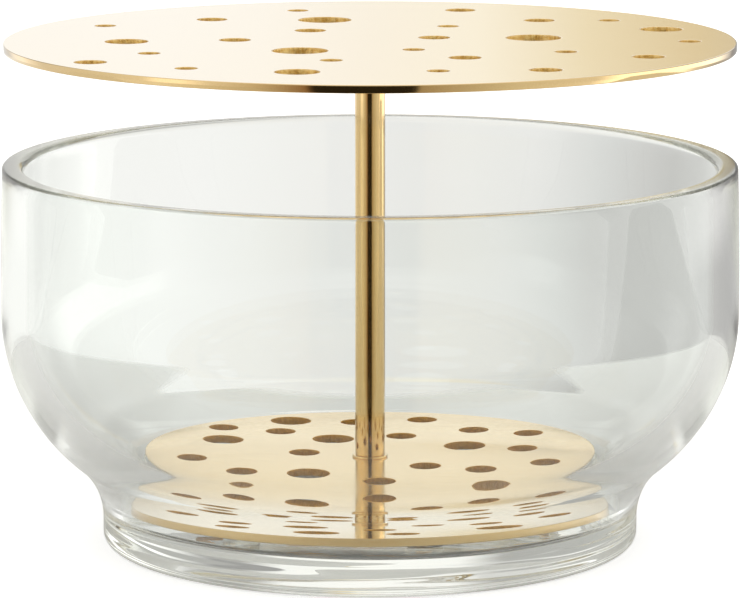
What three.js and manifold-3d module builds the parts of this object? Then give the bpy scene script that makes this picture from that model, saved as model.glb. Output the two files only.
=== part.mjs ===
// Ikebana vase: a thick clear glass bowl with a loose brass flower holder standing in it.
// Millimetres, +Z up, the bowl stands on z = 0 and its axis is the Z axis. The front is at -Y.
import * as THREE from 'three';
import { mergeVertices } from 'three/addons/utils/BufferGeometryUtils.js';
import Module from 'manifold-3d';

const wasm = await Module();
wasm.setup();

// Sizes of the brass flower holder
const overall_height = 130;
const upper_disc_radius = 93.5;
const upper_disc_thickness = 2;
const lower_disc_radius = 61.2;
const lower_disc_thickness = 3;
const post_diameter = 7.8;
const collar_thickness = 0.8;
const collar_overhang = 0.8;

// Stem hole diameters, the same drills for both discs
const large_hole = 14;
const wide_hole = 11;
const medium_hole = 8;
const small_hole = 5.5;

// Clear pads under the lower disc
const pad_diameter = 9.5;
const pad_thickness = 3.8;
const pad_count = 3;
const pad_inset = 28;
const pad_turn = THREE.MathUtils.degToRad(54);

// Countersunk M4 screw that holds the lower disc to the post
const screw_diameter = 4;
const screw_head_diameter = 7.6;
const screw_head_land = 0.25;
const screw_grip = 9;
const screw_key_across_flats = 2.5;
const screw_key_depth = 1.1;
const screw_clearance = 0.3;

// Outside of the bowl: foot, hollow fillet, round bowl, nearly straight wall and rim
const bowl_radius = 95;
const bowl_curve_radius = 49.5;
const foot_fillet_radius = 20;
const foot_height = 6.4;
const base_corner_radius = 2.8;
const rim_height = 98.5;
const rim_draw_in = 0.7;
const rim_round = 0.9;
const mouth_round = 2;

// Inside of the bowl, thicker towards the foot
const wall_thickness = 6.4;
const curve_thickening = 7.7;
const foot_wall = 6.05;
const well_clearance = 2;
const well_shoulder_radius = 20;
const hollow_slope = THREE.MathUtils.degToRad(44);
const floor_height = 9;
const floor_corner_radius = 2;
const shoulder_rise = 1;

// Sizes that follow from the ones above
const post_radius = post_diameter / 2;
const lower_disc_base = floor_height + pad_thickness;
const lower_disc_top = lower_disc_base + lower_disc_thickness;
const post_base = lower_disc_top + collar_thickness;
const upper_disc_base = overall_height - upper_disc_thickness;
const screw_radius = screw_diameter / 2;
const screw_head_radius = screw_head_diameter / 2;
const bore_radius = screw_radius + screw_clearance;
const well_radius = lower_disc_radius + well_clearance;
const foot_radius = well_radius + foot_wall;
const rim_radius = bowl_radius - rim_draw_in;
const hollow_radius = bowl_radius - wall_thickness;
const hollow_curve_radius = bowl_curve_radius - curve_thickening;

// Hole layouts, as spots on discs of these radii seen from above with the front at the bottom
const upper_layout_radius = 93.5;
const upper_layout = [
  { diameter: large_hole, spots: [[-12, 46], [-17.5, -24], [42, 4.5]] },
  { diameter: wide_hole, spots: [[-62, -4], [-17.5, -67.5], [76, 24]] },
  {
    diameter: medium_hole,
    spots: [
      [-42, 47], [-15.5, 21], [-34.5, -0.5], [-68.5, -48], [24.5, 70],
      [16.5, 5], [23.5, -38.5], [45, 45], [42.5, -63.5], [69, -36.5],
    ],
  },
  {
    diameter: small_hole,
    spots: [
      [-19.5, 69], [-69.5, 32], [-55, -29.5], [-9.5, -44], [-44.5, -60.5], [20.5, 31],
      [11, -21.5], [16.5, -65.5], [49, -26], [63.5, 45], [81.5, -3.5],
    ],
  },
];
const lower_layout_radius = 61.2;
const lower_layout = [
  {
    diameter: wide_hole,
    spots: [[-22, 47], [-40, 19], [-10, 22.5], [-16, -21], [25.5, 12.5], [-13, -43], [31.5, -36]],
  },
  {
    diameter: medium_hole,
    spots: [
      [-40.5, 35.5], [-24.5, 32], [-17.5, 4.5], [-47.5, -6], [-33.5, -20], [-4, 46],
      [-33.5, -36], [14.5, 49], [28.5, 33.5], [8.5, 26.5], [43.5, 27], [41, 7],
      [46.5, -11.5], [14.5, -12], [29, -17], [8, -46], [2.5, -29.5],
    ],
  },
];

// Finishes
const clear_glass = new THREE.MeshStandardMaterial({ color: '#e3e6df', roughness: 0.05, metalness: 0 });
const brushed_brass = new THREE.MeshStandardMaterial({ color: '#d9b878', roughness: 0.3, metalness: 1 });
const drawn_brass = new THREE.MeshStandardMaterial({ color: '#c59a52', roughness: 0.25, metalness: 1 });
const clear_rubber = new THREE.MeshStandardMaterial({ color: '#dedbd0', roughness: 0.6, metalness: 0 });
const screw_brass = new THREE.MeshStandardMaterial({ color: '#b98f4a', roughness: 0.35, metalness: 1 });

// Points of an arc in a profile, from one angle to another, both ends included
function arc(center_r, center_z, radius, from, to, steps) {
  const points = [];
  for (let step = 0; step <= steps; step += 1) {
    const angle = from + ((to - from) * step) / steps;
    points.push([center_r + radius * Math.cos(angle), center_z + radius * Math.sin(angle)]);
  }
  return points;
}

// A closed solid of revolution about Z. The profile runs anticlockwise: bottom, outside, top, inside
function turned(profile, segments) {
  const spread = profile.filter((point, index) => {
    if (index === 0) return true;
    const last = profile[index - 1];
    return Math.hypot(point[0] - last[0], point[1] - last[1]) > 1e-4;
  });
  const points = spread.map(([r, z]) => new THREE.Vector2(r, z));
  const shape = new THREE.LatheGeometry(points, segments);
  shape.rotateX(Math.PI / 2);
  return shape;
}

function circle_points(x, y, radius, segments) {
  const points = [];
  for (let step = 0; step < segments; step += 1) {
    const angle = (2 * Math.PI * step) / segments;
    points.push(new THREE.Vector2(x + radius * Math.cos(angle), y + radius * Math.sin(angle)));
  }
  return points;
}

// A round plate with its stem holes, standing on z = 0
function drilled_plate(radius, thickness, layout, layout_radius) {
  const outline = new THREE.Shape(circle_points(0, 0, radius, 96));
  const spread = radius / layout_radius;
  for (const { diameter, spots } of layout) {
    const segments = 2 * Math.round(4 + diameter * 0.55);
    for (const [x, y] of spots) {
      outline.holes.push(new THREE.Path(circle_points(x * spread, y * spread, diameter / 2, segments)));
    }
  }
  return new THREE.ExtrudeGeometry(outline, { depth: thickness, bevelEnabled: false });
}

function to_solid(geometry) {
  const plain = geometry.clone();
  plain.deleteAttribute('normal');
  plain.deleteAttribute('uv');
  const merged = mergeVertices(plain, 1e-4);
  const mesh = new wasm.Mesh({
    numProp: 3,
    vertProperties: new Float32Array(merged.attributes.position.array),
    triVerts: new Uint32Array(merged.index.array),
  });
  mesh.merge();
  return new wasm.Manifold(mesh);
}

function cut(geometry, cutter) {
  const result = to_solid(geometry).subtract(to_solid(cutter)).getMesh();
  const left = new THREE.BufferGeometry();
  left.setAttribute('position', new THREE.BufferAttribute(new Float32Array(result.vertProperties), 3));
  left.setIndex(new THREE.BufferAttribute(new Uint32Array(result.triVerts), 1));
  left.computeVertexNormals();
  return left;
}

// The outside leaves the foot in a hollow fillet that runs straight into the round of the bowl
function bowl_outside() {
  const reach = (bowl_radius - foot_radius) / (foot_fillet_radius + bowl_curve_radius);
  const turn = Math.acos(1 - reach);
  const curve_height = foot_height + (foot_fillet_radius + bowl_curve_radius) * Math.sin(turn);
  const wall_top = rim_height - rim_round;
  const fillet_center = foot_radius + foot_fillet_radius;
  const curve_center = bowl_radius - bowl_curve_radius;
  const wall = [];
  for (const share of [0.4, 0.7, 1]) {
    wall.push([bowl_radius - rim_draw_in * share * share, curve_height + (wall_top - curve_height) * share]);
  }
  return [
    [0, 0],
    ...arc(foot_radius - base_corner_radius, base_corner_radius, base_corner_radius, -Math.PI / 2, 0, 4),
    ...arc(fillet_center, foot_height, foot_fillet_radius, Math.PI, Math.PI - turn, 7),
    ...arc(curve_center, curve_height, bowl_curve_radius, -turn, 0, 10),
    ...wall,
  ];
}

// The inside runs down the wall, round the bowl, down a straight slope and over a shoulder into the well
function bowl_inside() {
  const run = hollow_radius - well_radius;
  const curves = hollow_curve_radius + well_shoulder_radius;
  const turn = Math.min(hollow_slope, Math.acos(1 - run / curves));
  const slope_run = run - curves * (1 - Math.cos(turn));
  const shoulder_height = floor_height + shoulder_rise;
  const curve_height = shoulder_height + curves * Math.sin(turn) + slope_run / Math.tan(turn);
  const corner_top = floor_height + floor_corner_radius;
  const well_end = Math.asin((corner_top - shoulder_height) / well_shoulder_radius);
  const shoulder_center = well_radius + well_shoulder_radius;
  const corner_edge = shoulder_center - well_shoulder_radius * Math.cos(well_end);
  return [
    ...arc(hollow_radius - hollow_curve_radius, curve_height, hollow_curve_radius, 0, -turn, 9),
    ...arc(shoulder_center, shoulder_height, well_shoulder_radius, Math.PI - turn, Math.PI - well_end, 6),
    ...arc(corner_edge - floor_corner_radius, corner_top, floor_corner_radius, 0, -Math.PI / 2, 3),
    [0, floor_height],
  ];
}

function glass_bowl() {
  const rim = [
    ...arc(rim_radius - rim_round, rim_height - rim_round, rim_round, 0, Math.PI / 2, 3),
    ...arc(hollow_radius + mouth_round, rim_height - mouth_round, mouth_round, Math.PI / 2, Math.PI, 4),
  ];
  return turned([...bowl_outside(), ...rim, ...bowl_inside()], 72);
}

function lower_disc() {
  const plate = drilled_plate(lower_disc_radius, lower_disc_thickness, lower_layout, lower_layout_radius);
  const seat_radius = screw_head_radius + screw_clearance;
  const seat_depth = seat_radius - bore_radius + screw_head_land;
  const seat = [
    [0, -1],
    [seat_radius, -1],
    [seat_radius, screw_head_land],
    [bore_radius, seat_depth],
    [bore_radius, lower_disc_thickness + 1],
    [0, lower_disc_thickness + 1],
  ];
  return cut(plate, turned(seat, 32));
}

// The post stands on the collar; its foot is bored for the screw
function post() {
  const length = upper_disc_base - post_base;
  const bore_depth = screw_grip + 1;
  const profile = [
    [0, bore_depth],
    [bore_radius, bore_depth],
    [bore_radius, 0],
    [post_radius, 0],
    [post_radius, length],
    [0, length],
  ];
  return turned(profile, 40);
}

function foot_collar() {
  const edge = post_radius + collar_overhang;
  const profile = [
    [bore_radius, 0],
    [edge, 0],
    [edge, collar_thickness],
    [bore_radius, collar_thickness],
    [bore_radius, 0],
  ];
  return turned(profile, 40);
}

function foot_screw() {
  const cone_top = screw_head_land + screw_head_radius - screw_radius;
  const length = lower_disc_thickness + collar_thickness + screw_grip;
  const profile = [
    [0, 0],
    [screw_head_radius, 0],
    [screw_head_radius, screw_head_land],
    [screw_radius, cone_top],
    [screw_radius, length],
    [0, length],
  ];
  const key_radius = screw_key_across_flats / Math.sqrt(3);
  const key = turned([[0, -1], [key_radius, -1], [key_radius, screw_key_depth], [0, screw_key_depth]], 6);
  return cut(turned(profile, 32), key);
}

function foot_pad() {
  const radius = pad_diameter / 2;
  return turned([[0, 0], [radius, 0], [radius, pad_thickness], [0, pad_thickness]], 28);
}

const vase = new THREE.Group();

function add(name, geometry, material, x, y, z) {
  const mesh = new THREE.Mesh(geometry, material);
  mesh.name = name;
  mesh.position.set(x, y, z);
  vase.add(mesh);
}

add('glass_bowl', glass_bowl(), clear_glass, 0, 0, 0);

const upper_plate = drilled_plate(upper_disc_radius, upper_disc_thickness, upper_layout, upper_layout_radius);
add('upper_disc', upper_plate, brushed_brass, 0, 0, upper_disc_base);
add('post', post(), drawn_brass, 0, 0, post_base);
add('foot_collar', foot_collar(), drawn_brass, 0, 0, lower_disc_top);
add('lower_disc', lower_disc(), brushed_brass, 0, 0, lower_disc_base);
add('foot_screw', foot_screw(), screw_brass, 0, 0, lower_disc_base);

// The pads sit well back under the disc, clear of its stem holes
const pad_circle = lower_disc_radius - pad_inset;
for (let index = 0; index < pad_count; index += 1) {
  const angle = pad_turn + (2 * Math.PI * index) / pad_count;
  const x = pad_circle * Math.cos(angle);
  const y = pad_circle * Math.sin(angle);
  add(`foot_pad_${index + 1}`, foot_pad(), clear_rubber, x, y, floor_height);
}

export default vase;
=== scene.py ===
"""Looks of the ikebana vase: a thick clear glass bowl with a loose brass flower holder in it.

Metres, +Z up, the front at -Y, in the frame of the CAD part. Sizes repeat those of the part's source.
"""
from math import acos, asin, cos, pi, radians, sin, tan

import bmesh
import bpy
from mathutils import Matrix, Vector


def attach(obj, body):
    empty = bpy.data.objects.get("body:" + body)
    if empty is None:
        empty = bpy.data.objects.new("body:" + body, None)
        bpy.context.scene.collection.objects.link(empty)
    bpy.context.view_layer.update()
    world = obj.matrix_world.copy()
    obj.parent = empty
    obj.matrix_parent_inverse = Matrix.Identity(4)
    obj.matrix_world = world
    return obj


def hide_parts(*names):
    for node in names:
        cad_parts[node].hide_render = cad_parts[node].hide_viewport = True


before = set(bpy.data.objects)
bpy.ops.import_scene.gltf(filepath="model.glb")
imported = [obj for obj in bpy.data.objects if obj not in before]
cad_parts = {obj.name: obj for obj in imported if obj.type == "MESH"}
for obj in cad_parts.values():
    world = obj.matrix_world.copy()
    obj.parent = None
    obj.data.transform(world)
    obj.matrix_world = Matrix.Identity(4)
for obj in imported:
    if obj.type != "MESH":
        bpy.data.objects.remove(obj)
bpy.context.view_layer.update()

MM = 0.001

# Brass flower holder
overall_height = 130 * MM
upper_disc_radius = 93.5 * MM
upper_disc_thickness = 2 * MM
lower_disc_radius = 61.2 * MM
lower_disc_thickness = 3 * MM
disc_edge_round = 0.2 * MM
post_radius = 3.9 * MM
post_edge_round = 0.15 * MM
bore_radius = 2.3 * MM
bore_depth = 10 * MM
collar_thickness = 0.8 * MM
collar_radius = 4.7 * MM
collar_edge_round = collar_thickness / 4
# A hair of air keeps the post's end and the collar from sharing one plane
post_air = 0.01 * MM

# Clear pads under the lower disc
pad_radius = 4.75 * MM
pad_thickness = 3.8 * MM
pad_edge_round = 0.7 * MM
pad_count = 3
pad_circle = 33.2 * MM
pad_turn = radians(54)
# A film of air that keeps the dry pads from wetting the glass
pad_air = 0.05 * MM

# Seat of the countersunk foot screw
seat_radius = 4.1 * MM

# Outside of the glass bowl
bowl_radius = 95 * MM
bowl_curve_radius = 49.5 * MM
foot_radius = 69.25 * MM
foot_fillet_radius = 20 * MM
foot_height = 6.4 * MM
base_corner_radius = 2.8 * MM
rim_height = 98.5 * MM
rim_radius = 94.3 * MM
rim_round = 0.9 * MM

# Inside of the glass bowl
hollow_radius = 88.6 * MM
mouth_round = 2 * MM
hollow_curve_radius = 41.8 * MM
hollow_slope = radians(44)
well_radius = 63.2 * MM
well_shoulder_radius = 20 * MM
floor_height = 9 * MM
floor_corner_radius = 2 * MM
shoulder_height = 10 * MM

# Heights that follow from the sizes above
lower_disc_base = floor_height + pad_thickness
lower_disc_top = lower_disc_base + lower_disc_thickness
post_base = lower_disc_top + collar_thickness + post_air
upper_disc_base = overall_height - upper_disc_thickness

# Stem holes in millimetres: diameter, then centres seen from above with the front at the bottom
upper_holes = {
    14: [(-12, 46), (-17.5, -24), (42, 4.5)],
    11: [(-62, -4), (-17.5, -67.5), (76, 24)],
    8: [
        (-42, 47), (-15.5, 21), (-34.5, -0.5), (-68.5, -48), (24.5, 70),
        (16.5, 5), (23.5, -38.5), (45, 45), (42.5, -63.5), (69, -36.5),
    ],
    5.5: [
        (-19.5, 69), (-69.5, 32), (-55, -29.5), (-9.5, -44), (-44.5, -60.5), (20.5, 31),
        (11, -21.5), (16.5, -65.5), (49, -26), (63.5, 45), (81.5, -3.5),
    ],
}
lower_holes = {
    11: [(-22, 47), (-40, 19), (-10, 22.5), (-16, -21), (25.5, 12.5), (-13, -43), (31.5, -36)],
    8: [
        (-40.5, 35.5), (-24.5, 32), (-17.5, 4.5), (-47.5, -6), (-33.5, -20), (-4, 46),
        (-33.5, -36), (14.5, 49), (28.5, 33.5), (8.5, 26.5), (43.5, 27), (41, 7),
        (46.5, -11.5), (14.5, -12), (29, -17), (8, -46), (2.5, -29.5),
    ],
}

# Straight sides in a full turn of each mesh
bowl_sides = 240
rod_sides = 96
pad_sides = 48
disc_sides = 256
hole_sides = 56
bore_sides = 48
studio_floor_sides = 96

# Narrow strips beside edges, which keep flat faces flat under smooth shading
glass_strip = 0.5 * MM
post_strip = 1 * MM
disc_strip = 0.3 * MM

# Turned points that are nearer than this become one point
merge_distance = 1e-7
# Turned points round outwards by a fraction of a micron, so they are drawn back inside the CAD box
draw_back = 0.99999

# Points and faces this near to an edge of a disc belong to that edge
edge_reach = 1 * MM
# A face of a disc is flat where its normal's height is past this
flat_normal = 0.999
# Places of a disc's finishes in its list, where the faces come first
edge_place = 1
wall_place = 2
underside_place = 3

# Skin of the glass: slow waves all over, and level ripples that are strongest low on the foot
wave_size = 30 * MM
wave_depth = 0.3 * MM
wave_strength = 0.06
ripple_size = 4 * MM
ripple_depth = 0.9 * MM
ripple_stretch = (0.05, 0.05, 1)
ripple_end = 14 * MM
ripple_full = 8 * MM

# Marks on the brass: the part of the noise's range that shows, and how far the gloss varies with it
mark_low = 0.3
mark_high = 0.7
gloss_spread = 0.2

# Cloudy skin of the bumpers: the size of its clouds, and its least and greatest roughness
cloud_size = 1.5 * MM
cloud_roughness_low = 0.03
cloud_roughness_high = 0.12

# The photograph's view: about 1.15 m away and 9.9 degrees above level
camera_target = Vector((0, 0, 0.06273))
camera_distance = 1.15
camera_elevation = radians(9.9)
camera_lens = 216.74
camera_sensor = 36

# White floor: its size, the strip of it that glass and metal show, and its glow for them and for the camera
studio_floor_radius = 1.5
studio_floor_drop = 0.2 * MM
strip_front = -0.14
strip_back = 0.175
strip_blend = 0.01
floor_glow = 0.11
floor_glow_seen = 0.66

# Dark camera in the tent: its tone, and the compass angles where its image in two mirrors starts and is full
camera_tone = "#1d1912"
camera_edge = radians(17)
camera_core = radians(11)
# Tone of the camera's side for rays that met no mirror, and how fast it takes over from the sides
front_tone = "#bebebb"
front_blend = 0.2

# Tones of the tent by compass direction in degrees: 0 is the camera's side, 90 the right and 180 the back
tent_level = 1.9
lowest_ring = [
    (-180, "#b8b7b5"), (-176, "#bbbab8"), (-172, "#bebebb"), (-140, "#bebebb"), (-118, "#b1b0ad"),
    (-70, "#bebebb"), (-35, "#9c978b"), (-19, "#6e5740"), (-18, camera_tone), (14, camera_tone),
    (15, "#827866"), (45, "#a9a8a1"), (72, "#bcbbb9"), (82, "#fffefb"), (112, "#fffefb"),
    (122, "#b7b6b4"), (138, "#908f8d"), (160, "#878685"), (173, "#8f8e8c"), (174.6, "#9a9997"),
    (175.8, "#a4a4a2"), (177, "#aeadab"), (178.3, "#b5b4b1"), (180, "#b8b7b5"),
]
# The rings above it, each after the elevations over which it takes over from the one below
higher_rings = [
    (-9, -7.5, [
        (-180, "#bfbbb3"), (-178, "#c3c2c0"), (-172, "#c3c2c0"), (-165, "#a9a8a6"), (-154, "#a9a8a6"),
        (-147, "#c8c7c5"), (-138, "#d8d7d5"), (-122, "#b2b2b0"), (-86, "#b2b2b0"), (-74, "#bcbbb9"),
        (-68, "#dfdedc"), (-60, "#dfdedc"), (-50, "#b7b6b4"), (-35, "#a0998c"), (-19, "#6e5740"),
        (-18, camera_tone), (14, camera_tone), (15, "#827866"), (45, "#a9a8a1"), (74, "#b7b6b4"),
        (84, "#fffefb"), (134, "#fffefb"), (146, "#c0bfbd"), (156, "#767575"), (173, "#7f7e7d"),
        (175.5, "#a2936f"), (176, "#a89879"), (177, "#b0a486"), (177.7, "#b8b09c"), (178.6, "#bfbaad"),
        (180, "#bfbbb3"),
    ]),
    (7.5, 9.5, [
        (-180, "#c7c6c3"), (-167, "#c3c2c0"), (-160, "#868583"), (-125, "#8f8f8c"), (-105, "#bebebb"),
        (-60, "#bebebb"), (-32, "#a9a8a6"), (32, "#a9a8a6"), (60, "#bebebb"), (105, "#bebebb"),
        (125, "#8f8f8c"), (160, "#868583"), (167, "#c3c2c0"), (180, "#c7c6c3"),
    ]),
    (45, 65, [
        (-180, "#c3c2c0"), (180, "#c3c2c0"),
    ]),
]

# Light meets the thick glass many times before it leaves it
bounce_limit = 64


def linear(hex_colour):
    """Linear colour with full alpha from an sRGB hex value such as #edd395"""
    shares = [int(hex_colour[place:place + 2], 16) / 255 for place in (1, 3, 5)]
    return [s / 12.92 if s <= 0.04045 else ((s + 0.055) / 1.055) ** 2.4 for s in shares] + [1]


def add_node(tree, kind, inputs=None, **settings):
    """Adds a node, sets its properties, then fills or links its inputs"""
    node = tree.nodes.new(kind)
    for name, value in settings.items():
        setattr(node, name, value)
    for name, value in (inputs or {}).items():
        if isinstance(value, bpy.types.NodeSocket):
            tree.links.new(value, node.inputs[name])
        else:
            node.inputs[name].default_value = value
    return node


def calculated(tree, operation, first, second=0.0):
    """Result of a sum or product, or of another operation on one or two values"""
    node = add_node(tree, "ShaderNodeMath", {0: first, 1: second}, operation=operation)
    return node.outputs["Value"]


def ramp(tree, value, start, end, low=0.0, high=1.0, course="LINEAR"):
    """Goes from low to high while the value goes from start to end, and stays there beyond them"""
    node = add_node(tree, "ShaderNodeMapRange", {
        "Value": value, "From Min": start, "From Max": end, "To Min": low, "To Max": high,
    }, interpolation_type=course)
    return node.outputs["Result"]


def blended(tree, share, first, second):
    """Goes from the first colour to the second while the share goes from 0 to 1"""
    # The mix node's colour sockets go by number, because their names stand for other types too
    first_socket = 6
    second_socket = 7
    colour_socket = 2
    node = add_node(tree, "ShaderNodeMix", {
        "Factor": share, first_socket: first, second_socket: second,
    }, data_type="RGBA")
    return node.outputs[colour_socket]


def new_material(name):
    """A material without nodes, and its node tree"""
    material = bpy.data.materials.new(name)
    material.use_nodes = True
    material.node_tree.nodes.clear()
    return material, material.node_tree


def clear_blown_glass():
    """Soda-lime glass blown in a mould and fire polished: colourless in the wall, grey-green where it is
    thick, with a slow waviness of the skin and broad level ripples round the foot"""
    material, tree = new_material("clear_blown_glass")
    place = add_node(tree, "ShaderNodeTexCoord").outputs["Object"]
    waves = add_node(tree, "ShaderNodeTexNoise", {
        "Vector": place, "Scale": 1 / wave_size, "Detail": 1.0, "Roughness": 0.4,
    })
    skin = add_node(tree, "ShaderNodeBump", {
        "Strength": wave_strength, "Distance": wave_depth, "Height": waves.outputs["Fac"],
    })
    level = add_node(tree, "ShaderNodeMapping", {"Vector": place, "Scale": ripple_stretch})
    ripples = add_node(tree, "ShaderNodeTexNoise", {
        "Vector": level.outputs["Vector"], "Scale": 1 / ripple_size, "Detail": 0.5, "Roughness": 0.4,
    })
    spot = add_node(tree, "ShaderNodeSeparateXYZ", {"Vector": place})
    foot = ramp(tree, spot.outputs["Z"], ripple_end, ripple_full)
    rippled = add_node(tree, "ShaderNodeBump", {
        "Strength": 1.0, "Distance": ripple_depth,
        "Height": calculated(tree, "MULTIPLY", ripples.outputs["Fac"], foot),
        "Normal": skin.outputs["Normal"],
    })
    surface = add_node(tree, "ShaderNodeBsdfPrincipled", {
        "Base Color": linear("#fdfffe"), "Roughness": 0.0, "IOR": 1.5, "Transmission Weight": 1.0,
        "Normal": rippled.outputs["Normal"],
    })
    body = add_node(tree, "ShaderNodeVolumeAbsorption", {"Color": linear("#eff1e4"), "Density": 2.0})
    add_node(tree, "ShaderNodeOutputMaterial", {
        "Surface": surface.outputs["BSDF"], "Volume": body.outputs["Volume"],
    })
    return material


def brass(name, colour, deep_colour, roughness, grain, stretch, depth, lacquer=1.0):
    """Brass under clear lacquer, between a bright and a deep tone. A noise stands for the marks of its
    making, fine lines or a coarse wall, and shifts tone, gloss and skin: grain, stretch and depth say how
    large, drawn out and deep they are. Lines of about 0.02 mm are drawn wider, so that a render shows them"""
    material, tree = new_material(name)
    place = add_node(tree, "ShaderNodeTexCoord").outputs["Object"]
    along = add_node(tree, "ShaderNodeMapping", {"Vector": place, "Scale": stretch})
    marks = add_node(tree, "ShaderNodeTexNoise", {
        "Vector": along.outputs["Vector"], "Scale": 1 / grain, "Detail": 3.0, "Roughness": 0.6,
    }).outputs["Fac"]
    share = ramp(tree, marks, mark_low, mark_high)
    smoothest = roughness * (1 - gloss_spread)
    roughest = roughness * (1 + gloss_spread)
    gloss = ramp(tree, share, 0.0, 1.0, low=smoothest, high=roughest)
    skin = add_node(tree, "ShaderNodeBump", {"Strength": 1.0, "Distance": depth, "Height": marks})
    surface = add_node(tree, "ShaderNodeBsdfPrincipled", {
        "Base Color": blended(tree, share, linear(deep_colour), linear(colour)),
        "Metallic": 1.0, "Roughness": gloss, "Normal": skin.outputs["Normal"],
        "Coat Weight": lacquer, "Coat Roughness": 0.06, "Coat IOR": 1.5,
    })
    add_node(tree, "ShaderNodeOutputMaterial", {"Surface": surface.outputs["BSDF"]})
    return material


def clear_soft_rubber():
    """Moulded polyurethane bumper: water clear, its skin a little uneven in gloss"""
    material, tree = new_material("clear_moulded_polyurethane")
    place = add_node(tree, "ShaderNodeTexCoord").outputs["Object"]
    cloud = add_node(tree, "ShaderNodeTexNoise", {"Vector": place, "Scale": 1 / cloud_size, "Detail": 2.0})
    gloss = ramp(tree, cloud.outputs["Fac"], 0.0, 1.0, low=cloud_roughness_low, high=cloud_roughness_high)
    surface = add_node(tree, "ShaderNodeBsdfPrincipled", {
        "Base Color": linear("#f4f4f0"), "Roughness": gloss, "IOR": 1.48, "Transmission Weight": 1.0,
    })
    add_node(tree, "ShaderNodeOutputMaterial", {"Surface": surface.outputs["BSDF"]})
    return material


def white_floor_paint():
    """Matt white paint that takes the soft shadow and glows up to white where the camera sees it. Glass and
    metal show only a strip of it under the vase, and past that the tent"""
    material, tree = new_material("white_studio_floor")
    rays = add_node(tree, "ShaderNodeLightPath")
    place = add_node(tree, "ShaderNodeTexCoord").outputs["Object"]
    spot = add_node(tree, "ShaderNodeSeparateXYZ", {"Vector": place})
    past_front = ramp(tree, spot.outputs["Y"], strip_front + strip_blend, strip_front)
    past_back = ramp(tree, spot.outputs["Y"], strip_back - strip_blend, strip_back)
    past = calculated(tree, "ADD", past_front, past_back)
    bent = calculated(tree, "MAXIMUM", rays.outputs["Is Glossy Ray"], rays.outputs["Is Transmission Ray"])
    paint = add_node(tree, "ShaderNodeBsdfDiffuse", {"Color": linear("#e6e6e4")})
    glow = ramp(tree, rays.outputs["Is Camera Ray"], 0.0, 1.0, low=floor_glow, high=floor_glow_seen)
    lift = add_node(tree, "ShaderNodeEmission", {"Color": linear("#ffffff"), "Strength": glow})
    top = add_node(tree, "ShaderNodeAddShader", {0: paint.outputs["BSDF"], 1: lift.outputs["Emission"]})
    gap = add_node(tree, "ShaderNodeBsdfTransparent")
    both = add_node(tree, "ShaderNodeMixShader", {
        0: calculated(tree, "MULTIPLY", past, bent), 1: top.outputs["Shader"], 2: gap.outputs["BSDF"],
    })
    add_node(tree, "ShaderNodeOutputMaterial", {"Surface": both.outputs["Shader"]})
    return material


def line_to(bm, pen, r, z, steps):
    """Extrudes the last vertex of a profile in equal steps to radius r and height z"""
    step = (Vector((r, 0, z)) - pen.co) / steps
    for _ in range(steps):
        pen = bmesh.ops.extrude_vert_indiv(bm, verts=[pen])["verts"][0]
        bmesh.ops.translate(bm, verts=[pen], vec=step)
    return pen


def arc_about(bm, pen, r, z, turn, steps):
    """Spins the last vertex of a profile about a centre, anticlockwise where the turn is positive"""
    made = bmesh.ops.spin(
        bm, geom=[pen], cent=(r, 0, z), axis=(0, -1, 0), angle=turn, steps=steps, use_merge=False
    )
    return made["geom_last"][0]


def turn_profile(bm, sides):
    """Spins a drawn profile into a closed solid with smooth faces that point outwards"""
    bmesh.ops.spin(
        bm, geom=bm.verts[:] + bm.edges[:], cent=(0, 0, 0), axis=(0, 0, 1), angle=2 * pi,
        steps=sides, use_merge=True,
    )
    bmesh.ops.remove_doubles(bm, verts=bm.verts[:], dist=merge_distance)
    bmesh.ops.scale(bm, verts=bm.verts[:], vec=(draw_back, draw_back, 1))
    bmesh.ops.recalc_face_normals(bm, faces=bm.faces[:])
    for face in bm.faces:
        face.smooth = True


def finish_piece(bm, name, materials, body, node):
    """Makes the bmesh a piece of the vase that stands for its CAD node and moves with its body"""
    mesh = bpy.data.meshes.new(name)
    bm.to_mesh(mesh)
    bm.free()
    piece = bpy.data.objects.new(name, mesh)
    bpy.context.scene.collection.objects.link(piece)
    for material in materials:
        mesh.materials.append(material)
    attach(piece, body)
    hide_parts(node)


def bowl_outside(bm):
    """Profile from the centre of the underside up to the rim: foot, hollow fillet, round and wall"""
    turn = acos(1 - (bowl_radius - foot_radius) / (foot_fillet_radius + bowl_curve_radius))
    curve_height = foot_height + (foot_fillet_radius + bowl_curve_radius) * sin(turn)
    wall_rise = rim_height - rim_round - curve_height
    draw_in = bowl_radius - rim_radius
    wall_curve = (wall_rise ** 2 + draw_in ** 2) / (2 * draw_in)
    wall_turn = asin(wall_rise / wall_curve)
    base_flat = foot_radius - base_corner_radius
    pen = bm.verts.new((0, 0, 0))
    pen = line_to(bm, pen, base_flat - glass_strip, 0, steps=14)
    pen = line_to(bm, pen, base_flat, 0, steps=1)
    pen = arc_about(bm, pen, base_flat, base_corner_radius, pi / 2, steps=14)
    pen = line_to(bm, pen, foot_radius, foot_height, steps=5)
    pen = arc_about(bm, pen, foot_radius + foot_fillet_radius, foot_height, -turn, steps=24)
    pen = arc_about(bm, pen, bowl_radius - bowl_curve_radius, curve_height, turn, steps=28)
    return arc_about(bm, pen, bowl_radius - wall_curve, curve_height, wall_turn, steps=14)


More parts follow.
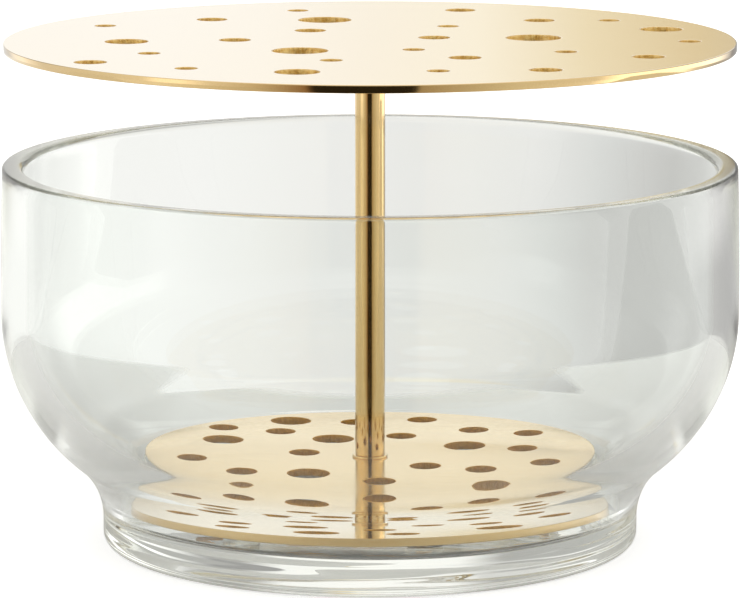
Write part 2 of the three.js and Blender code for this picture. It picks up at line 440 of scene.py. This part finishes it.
def bowl_inside(bm, pen):
    """Profile from the rim down the wall, the round, a straight slope and a shoulder to the well's floor"""
    run = hollow_radius - well_radius
    curves = hollow_curve_radius + well_shoulder_radius
    slope_run = run - curves * (1 - cos(hollow_slope))
    curve_height = shoulder_height + curves * sin(hollow_slope) + slope_run / tan(hollow_slope)
    shoulder_center = well_radius + well_shoulder_radius
    slope_end_r = shoulder_center - well_shoulder_radius * cos(hollow_slope)
    slope_end_z = shoulder_height + well_shoulder_radius * sin(hollow_slope)
    corner_top = floor_height + floor_corner_radius
    well_end = asin((corner_top - shoulder_height) / well_shoulder_radius)
    pen = line_to(bm, pen, hollow_radius, curve_height, steps=14)
    pen = arc_about(bm, pen, hollow_radius - hollow_curve_radius, curve_height, -hollow_slope, steps=24)
    pen = line_to(bm, pen, slope_end_r, slope_end_z, steps=8)
    pen = arc_about(bm, pen, shoulder_center, shoulder_height, hollow_slope - well_end, steps=20)
    pen = arc_about(bm, pen, pen.co.x - floor_corner_radius, corner_top, -pi / 2, steps=12)
    pen = line_to(bm, pen, pen.co.x - glass_strip, floor_height, steps=1)
    line_to(bm, pen, 0, floor_height, steps=14)


def make_bowl():
    """The bowl: its outside, the flat rim with both edges rounded, and its inside"""
    bm = bmesh.new()
    pen = bowl_outside(bm)
    pen = arc_about(bm, pen, rim_radius - rim_round, rim_height - rim_round, pi / 2, steps=8)
    pen = line_to(bm, pen, hollow_radius + mouth_round, rim_height, steps=4)
    pen = arc_about(bm, pen, hollow_radius + mouth_round, rim_height - mouth_round, pi / 2, steps=12)
    bowl_inside(bm, pen)
    turn_profile(bm, bowl_sides)
    finish_piece(bm, "clear_glass_bowl", [glass], "bowl", "glass_bowl")


def round_edges(bm, faces):
    """Rounds the rim and the hole edges around flat faces in three steps, then adds a flat strip"""
    steps = 3
    for step in range(steps):
        start = step * pi / 2 / steps
        end = (step + 1) * pi / 2 / steps
        bmesh.ops.inset_region(
            bm, faces=faces, use_boundary=True, use_even_offset=True,
            thickness=disc_edge_round * (cos(start) - cos(end)),
            depth=disc_edge_round * (sin(end) - sin(start)),
        )
    bmesh.ops.inset_region(bm, faces=faces, use_boundary=True, use_even_offset=True, thickness=disc_strip)


def drilled_disc(radius, base, thickness, holes, center_hole):
    """A round sheet with its stem holes and softly rounded edges"""
    bm = bmesh.new()
    bmesh.ops.create_circle(bm, segments=disc_sides, radius=radius)
    if center_hole:
        bmesh.ops.create_circle(bm, segments=bore_sides, radius=center_hole)
    for diameter, spots in holes.items():
        for x, y in spots:
            spot = Matrix.Translation((x * MM, y * MM, 0))
            bmesh.ops.create_circle(bm, segments=hole_sides, radius=diameter / 2 * MM, matrix=spot)
    bmesh.ops.triangle_fill(bm, use_beauty=True, edges=bm.edges[:], normal=(0, 0, 1))
    lower_faces = bm.faces[:]
    made = bmesh.ops.extrude_face_region(bm, geom=lower_faces)["geom"]
    upper_faces = [part for part in made if isinstance(part, bmesh.types.BMFace)]
    upper_verts = [part for part in made if isinstance(part, bmesh.types.BMVert)]
    bmesh.ops.translate(bm, verts=upper_verts, vec=(0, 0, thickness - 2 * disc_edge_round))
    bmesh.ops.translate(bm, verts=bm.verts[:], vec=(0, 0, base + disc_edge_round))
    bmesh.ops.recalc_face_normals(bm, faces=bm.faces[:])
    round_edges(bm, upper_faces)
    round_edges(bm, lower_faces)
    for face in bm.faces:
        face.smooth = True
        if abs(face.normal.z) < flat_normal:
            at_rim = face.calc_center_median().xy.length > radius - edge_reach
            face.material_index = edge_place if at_rim else wall_place
    return bm


def make_upper_disc():
    """The upper disc, which has no hole at its centre because it is brazed to the post"""
    bm = drilled_disc(upper_disc_radius, upper_disc_base, upper_disc_thickness, upper_holes, None)
    finishes = [brushed_face, cut_edge, drilled_wall]
    finish_piece(bm, "brass_upper_disc", finishes, "holder", "upper_disc")


def make_lower_disc():
    """The lower disc, its centre hole opened underneath into a cone for the screw's head"""
    bm = drilled_disc(lower_disc_radius, lower_disc_base, lower_disc_thickness, lower_holes, bore_radius)
    seat = [
        point for point in bm.verts
        if point.co.xy.length < bore_radius + edge_reach and point.co.z < lower_disc_base + edge_reach
    ]
    opening = seat_radius / bore_radius
    bmesh.ops.scale(bm, verts=seat, vec=(opening, opening, 1))
    # The underside's faces take the dull brown brass, a painted shade
    for face in bm.faces:
        if face.normal.z < -flat_normal:
            face.material_index = underside_place
    # Face, rim and hole walls take brass painted paler and brighter than the upper disc's, as painted light
    finishes = [face_painted_light, satin_edge_painted_light, reamed_wall_painted_light, underside_painted_shade]
    finish_piece(bm, "brass_lower_disc", finishes, "holder", "lower_disc")


def make_post():
    """The post, bored from below for the screw, its lower edge rounded"""
    bm = bmesh.new()
    pen = bm.verts.new((0, 0, post_base + bore_depth))
    pen = line_to(bm, pen, bore_radius, post_base + bore_depth, steps=1)
    pen = line_to(bm, pen, bore_radius, post_base, steps=4)
    pen = line_to(bm, pen, post_radius - post_edge_round, post_base, steps=2)
    pen = arc_about(bm, pen, post_radius - post_edge_round, post_base + post_edge_round, pi / 2, steps=4)
    pen = line_to(bm, pen, post_radius, post_base + post_strip, steps=1)
    pen = line_to(bm, pen, post_radius, upper_disc_base, steps=8)
    pen = line_to(bm, pen, post_radius - post_strip, upper_disc_base, steps=1)
    line_to(bm, pen, 0, upper_disc_base, steps=1)
    turn_profile(bm, rod_sides)
    finish_piece(bm, "brass_post", [drawn_rod], "stem", "post")


def make_collar():
    """The thin ring between the lower disc and the post, its outer edges rounded"""
    bm = bmesh.new()
    top = lower_disc_top + collar_thickness
    round_radius = collar_radius - collar_edge_round
    start = bm.verts.new((bore_radius, 0, lower_disc_top))
    pen = line_to(bm, start, round_radius, lower_disc_top, steps=3)
    pen = arc_about(bm, pen, round_radius, lower_disc_top + collar_edge_round, pi / 2, steps=4)
    pen = line_to(bm, pen, collar_radius, top - collar_edge_round, steps=1)
    pen = arc_about(bm, pen, round_radius, top - collar_edge_round, pi / 2, steps=4)
    pen = line_to(bm, pen, bore_radius, top, steps=3)
    bm.edges.new((pen, start))
    turn_profile(bm, rod_sides)
    finish_piece(bm, "brass_foot_collar", [cut_edge], "holder", "foot_collar")


def make_pad(index):
    """One clear bumper under the lower disc, its lower edge rounded"""
    angle = pad_turn + 2 * pi * index / pad_count
    base = floor_height + pad_air
    top = floor_height + pad_thickness
    bm = bmesh.new()
    pen = bm.verts.new((0, 0, base))
    pen = line_to(bm, pen, pad_radius - pad_edge_round, base, steps=3)
    pen = arc_about(bm, pen, pad_radius - pad_edge_round, base + pad_edge_round, pi / 2, steps=6)
    pen = line_to(bm, pen, pad_radius, top, steps=2)
    line_to(bm, pen, 0, top, steps=3)
    turn_profile(bm, pad_sides)
    spot = (pad_circle * cos(angle), pad_circle * sin(angle), 0)
    bmesh.ops.translate(bm, verts=bm.verts[:], vec=spot)
    name = f"foot_pad_{index + 1}"
    finish_piece(bm, f"clear_{name}", [bumper], "holder", name)


def ring_of_tones(tree, compass_share, tones):
    """One ring of the tent, its tones by compass direction"""
    ring = add_node(tree, "ShaderNodeValToRGB", {"Fac": compass_share})
    stops = ring.color_ramp.elements
    for degrees, _ in tones[1:-1]:
        stops.new((degrees + 180) / 360)
    for stop, (_, colour) in zip(stops, tones):
        stop.color = linear(colour)
    return ring.outputs["Color"]


def stacked_rings(tree, compass, height):
    """The tent as every ray sees it: its rings stacked by elevation"""
    compass_share = ramp(tree, compass, -pi, pi)
    tent = ring_of_tones(tree, compass_share, lowest_ring)
    for blend_start, blend_end, tones in higher_rings:
        low = sin(radians(blend_start))
        high = sin(radians(blend_end))
        rise = ramp(tree, height, low, high, course="SMOOTHSTEP")
        tent = blended(tree, rise, tent, ring_of_tones(tree, compass_share, tones))
    return tent


def camera_between_mirrors(tree, rays, compass, tent):
    """Two mirrors in a row, such as the post and the lower disc, show the dark camera above level too"""
    twice = ramp(tree, rays.outputs["Glossy Depth"], 1.0, 2.0)
    facing = ramp(tree, calculated(tree, "ABSOLUTE", compass), camera_edge, camera_core)
    return blended(tree, calculated(tree, "MULTIPLY", twice, facing), tent, linear(camera_tone))


def clear_without_mirror(tree, rays, forward, tent):
    """No mirror, no camera: the glass stays clear seen from behind"""
    unmirrored = ramp(tree, rays.outputs["Glossy Depth"], 0.0, 1.0, low=1.0, high=0.0)
    frontward = ramp(tree, forward, 0.0, front_blend)
    return blended(tree, calculated(tree, "MULTIPLY", unmirrored, frontward), tent, linear(front_tone))


def make_studio():
    """White tent that lights the vase by direction, and that the camera sees as plain white"""
    world = bpy.data.worlds.new("white_tent")
    bpy.context.scene.world = world
    world.use_nodes = True
    tree = world.node_tree
    tree.nodes.clear()
    rays = add_node(tree, "ShaderNodeLightPath")
    place = add_node(tree, "ShaderNodeTexCoord")
    toward = add_node(tree, "ShaderNodeSeparateXYZ", {"Vector": place.outputs["Generated"]})
    forward = calculated(tree, "MULTIPLY", toward.outputs["Y"], -1.0)
    compass = calculated(tree, "ARCTAN2", toward.outputs["X"], forward)
    tent = stacked_rings(tree, compass, toward.outputs["Z"])
    tent = camera_between_mirrors(tree, rays, compass, tent)
    tent = clear_without_mirror(tree, rays, forward, tent)
    tone = blended(tree, rays.outputs["Is Camera Ray"], tent, linear("#ffffff"))
    level = ramp(tree, rays.outputs["Is Camera Ray"], 0.0, 1.0, low=tent_level, high=1.0)
    sky = add_node(tree, "ShaderNodeBackground", {"Color": tone, "Strength": level})
    add_node(tree, "ShaderNodeOutputWorld", {"Surface": sky.outputs["Background"]})


def make_floor():
    """A round white floor a hair under the bowl"""
    bm = bmesh.new()
    bmesh.ops.create_circle(bm, cap_ends=True, segments=studio_floor_sides, radius=studio_floor_radius)
    bmesh.ops.translate(bm, verts=bm.verts[:], vec=(0, 0, -studio_floor_drop))
    mesh = bpy.data.meshes.new("studio_floor")
    bm.to_mesh(mesh)
    bm.free()
    mesh.materials.append(white_floor_paint())
    floor = bpy.data.objects.new("studio_floor", mesh)
    bpy.context.scene.collection.objects.link(floor)


def make_camera():
    """The photograph's camera, aimed at the middle of the vase"""
    data = bpy.data.cameras.new("photo_camera")
    data.sensor_fit = "HORIZONTAL"
    data.sensor_width = camera_sensor
    data.lens = camera_lens
    camera = bpy.data.objects.new("photo_camera", data)
    away = Vector((0, -cos(camera_elevation), sin(camera_elevation)))
    camera.location = camera_target + camera_distance * away
    camera.rotation_euler = (camera_target - camera.location).to_track_quat("-Z", "Y").to_euler()
    bpy.context.scene.collection.objects.link(camera)
    bpy.context.scene.camera = camera


glass = clear_blown_glass()
# Sheet brushed in straight lines: pale gold, a soft mirror with fine streaks from left to right
brushed_face = brass("brushed_sheet_brass", "#f2dba6", "#ead094", 0.14, 0.35 * MM, (0.03, 1, 1), 0.002 * MM)
# The same sheet with little lacquer left on it, painted a paler cream gold: painted light that makes the
# lower disc's face look more brightly lit
face_painted_light = brass(
    "brushed_brass_painted_light", "#f8e3be", "#f1d8ac", 0.14, 0.35 * MM, (0.03, 1, 1), 0.002 * MM, lacquer=0.3
)
# Edge turned on a lathe: bright, nearly a mirror
cut_edge = brass("turned_brass_edge", "#ecce96", "#e4c386", 0.07, 0.3 * MM, (1, 1, 1), 0.001 * MM)
# Drilled wall: coarse, it glitters between light and deep gold
drilled_wall = brass("drilled_brass_wall", "#ffe094", "#d9a850", 0.4, 0.8 * MM, (1, 1, 0.5), 0.4 * MM)
# Reamed wall with little lacquer: dull deep gold, painted brighter than the drilled wall as painted light in
# the lower disc's holes
reamed_wall_painted_light = brass(
    "reamed_brass_wall_painted_light", "#ffd880", "#f2ba5a", 0.6, 0.8 * MM, (1, 1, 0.5), 0.5 * MM, lacquer=0.3
)
# Tumbled edge: satin without a clear mirror image, painted a paler light gold as painted light on the lower
# disc's rim
satin_edge_painted_light = brass("tumbled_brass_edge_painted_light", "#fbdda2", "#f0ca86", 0.4, 0.25 * MM, (1, 1, 1), 0.12 * MM)
# Underside: rougher brass painted dull brown, a painted shade for the dim gap under the lower disc
underside_painted_shade = brass("brass_underside_painted_shade", "#8f7a4c", "#7d683c", 0.5, 0.5 * MM, (0.05, 1, 1), 0.01 * MM)
# Rod drawn and polished: warm gold with fine lines along it
drawn_rod = brass("drawn_polished_brass", "#ebcb8e", "#e1be7e", 0.12, 0.3 * MM, (1, 1, 0.02), 0.0016 * MM)
bumper = clear_soft_rubber()

make_bowl()
make_upper_disc()
make_lower_disc()
make_post()
make_collar()
for pad_index in range(pad_count):
    make_pad(pad_index)
# The screw keeps its CAD solid and only gets its finish
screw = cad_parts["foot_screw"]
screw.data.materials.clear()
screw.data.materials.append(cut_edge)
make_studio()
make_floor()
make_camera()
bpy.context.scene.view_settings.view_transform = "Standard"
bpy.context.scene.cycles.max_bounces = bounce_limit
bpy.context.scene.cycles.transmission_bounces = bounce_limit
bpy.context.scene.cycles.glossy_bounces = bounce_limit
